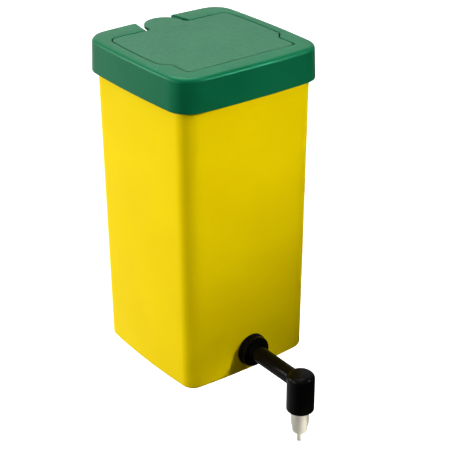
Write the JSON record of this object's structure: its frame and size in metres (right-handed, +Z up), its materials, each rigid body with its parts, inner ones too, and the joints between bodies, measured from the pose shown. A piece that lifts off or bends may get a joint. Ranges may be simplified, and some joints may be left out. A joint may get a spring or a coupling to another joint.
{
  "type": "hutch nipple drinker",
  "caption": "Square upright water tank with a push-on lid, a hinged filling flap with a finger tab, and an elbow spout that ends in a pin-operated nipple valve.",
  "frame": {"origin": "middle of the tank's flat base", "axes": "+Z up through the lid, -Y along the spout away from the tank, +Y towards the flap's finger tab"},
  "size_m": [0.095, 0.1421, 0.2094],
  "materials": {
    "tank_plastic": "moulded polypropylene, satin gloss",
    "lid_plastic": "moulded polypropylene, glossy",
    "flap_plastic": "moulded polypropylene, finely textured",
    "black_rubber": "matt rubber",
    "black_plastic": "moulded nylon, satin gloss",
    "stainless_steel": "turned stainless steel",
    "seal_rubber": "matt silicone",
    "white_plastic": "moulded acetal"
  },
  "bodies": {
    "tank": {"tank": "tank_plastic", "spout_grommet": "black_rubber"},
    "lid": {"lid": "lid_plastic"},
    "filler_flap": {"filler_flap": "flap_plastic"},
    "elbow_spout": {"elbow_spout": "black_plastic", "nipple_body": "stainless_steel", "nipple_o_ring": "black_rubber", "valve_spring": "stainless_steel", "spring_cap": "white_plastic"},
    "spring_button": {"spring_button": "white_plastic"},
    "valve_seal": {"valve_seal": "seal_rubber"},
    "trigger_pin": {"trigger_pin": "stainless_steel"}
  },
  "joints": [
    {"name": "lid_lift", "type": "slide", "parent": "tank", "child": "lid", "axis": [0, 0, 1], "range_m": [0, 0.04]},
    {"name": "flap_hinge", "type": "hinge", "parent": "lid", "child": "filler_flap", "pos_m": [0, -0.0316, 0.1837], "axis": [1, 0, 0], "range_deg": [0, 110]},
    {"name": "elbow_swivel", "type": "hinge", "parent": "tank", "child": "elbow_spout", "pos_m": [0, -0.0868, 0.0146], "axis": [0, 1, 0], "continuous": true},
    {"name": "pin_push", "type": "slide", "parent": "elbow_spout", "child": "spring_button", "axis": [0, 0, 1], "range_m": [0, 0.001], "stiffness_N_per_m": 150, "springref_m": -0.003, "deforming": ["valve_spring"]},
    {"name": "pin_tilt_sideways", "type": "hinge", "parent": "spring_button", "child": "valve_seal", "pos_m": [0, -0.0868, -0.00865], "axis": [0, 1, 0], "range_deg": [-3.5, 3.5], "stiffness_Nm_per_rad": 0.004},
    {"name": "pin_tilt_forward", "type": "hinge", "parent": "valve_seal", "child": "trigger_pin", "pos_m": [0, -0.0868, -0.00865], "axis": [1, 0, 0], "range_deg": [-3.5, 3.5], "stiffness_Nm_per_rad": 0.004}
  ]
}
